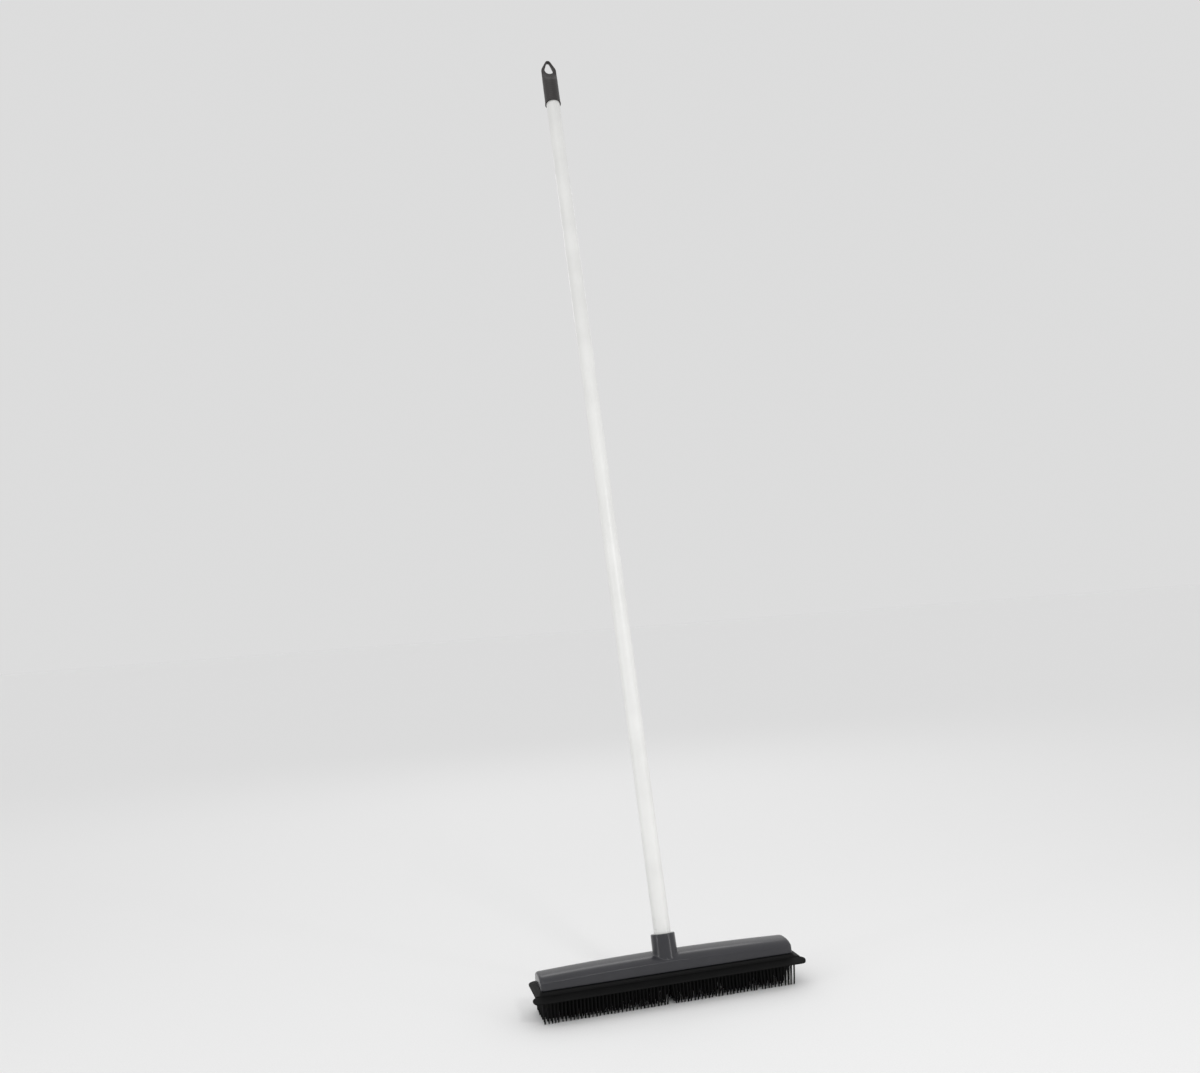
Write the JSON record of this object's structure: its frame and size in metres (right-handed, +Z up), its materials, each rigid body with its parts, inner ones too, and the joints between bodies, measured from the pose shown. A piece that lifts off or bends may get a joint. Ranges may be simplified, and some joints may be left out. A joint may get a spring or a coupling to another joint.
{
  "type": "rubber carpet broom",
  "caption": "Floor and carpet sweeper: domed plastic head, moulded rubber bristles with a scraper lip, and a straight screw-in handle with a hanging eye.",
  "frame": {"origin": "centre of the bristle tips, on the floor under the middle of the head", "axes": "+X along the head, +Y to the back where the handle leans, +Z up"},
  "size_m": [0.3548, 0.3492, 1.4133],
  "materials": {
    "cover_plastic": "gloss moulded, dark grey",
    "black_rubber": "matt moulded rubber, black",
    "plate_plastic": "matt moulded, black",
    "screw_steel": "zinc-plated",
    "white_coating": "gloss powder coat, white",
    "tip_plastic": "satin moulded, black",
    "cap_plastic": "satin moulded, warm dark grey"
  },
  "bodies": {
    "head": {"top_cover": "cover_plastic", "rubber_insert": "black_rubber", "backing_plate": "plate_plastic", "plate_screw_1": "screw_steel", "plate_screw_2": "screw_steel", "plate_screw_3": "screw_steel", "plate_screw_4": "screw_steel", "plate_screw_5": "screw_steel", "plate_screw_6": "screw_steel"},
    "hanger": {"hanger_cap": "cap_plastic"},
    "handle": {"handle_tube": "white_coating", "thread_tip": "tip_plastic"}
  },
  "joints": [
    {"name": "handle_lift", "type": "slide", "parent": "head", "child": "hanger", "axis": [0, 0.2233, 0.9748], "range_m": [0, 0.036]},
    {"name": "handle_turn", "type": "hinge", "parent": "hanger", "child": "handle", "pos_m": [0, 0.002, 0.0789], "axis": [0, 0.2233, 0.9748], "range_deg": [0, 3240]}
  ],
  "couplings": [
    {"joint": "handle_turn", "follows": "handle_lift", "rad_per_m": 1570.8}
  ]
}
